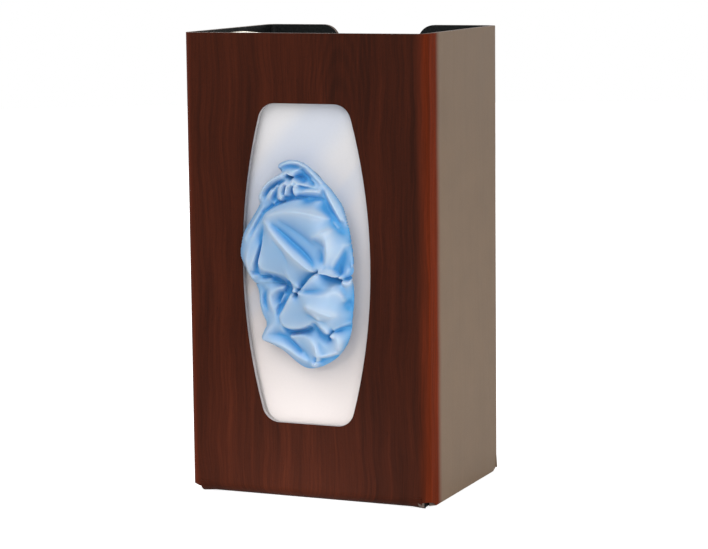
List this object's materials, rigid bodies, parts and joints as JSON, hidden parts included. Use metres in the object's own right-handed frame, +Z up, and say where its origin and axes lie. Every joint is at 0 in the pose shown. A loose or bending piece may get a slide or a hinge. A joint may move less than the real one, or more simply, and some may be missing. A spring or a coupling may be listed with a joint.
{
  "type": "disposable glove dispenser",
  "caption": "Open-topped dispenser folded from one sheet, with a barrel-shaped front window, round a carton of disposable gloves with some pulled out.",
  "frame": {"origin": "underside of the floor flap, level with the sheet's lower edges, under the middle of the folded sheet", "axes": "+Z up, -Y out of the front with the window, +X to the right as a person facing the front sees it"},
  "size_m": [0.1428, 0.1331, 0.2546],
  "materials": {
    "shell_sheet": "dark cherry wood-grain film on the front, satin taupe sides, black grained inside",
    "carton_card": "white coated card with pale blue bands",
    "glove_film": "thin light blue nitrile, soft sheen"
  },
  "bodies": {
    "root": {"dispenser_shell": "shell_sheet", "glove_carton": "carton_card", "glove_stack": "glove_film", "pulled_glove_upper": "glove_film", "pulled_glove_lower": "glove_film"}
  },
  "joints": []
}
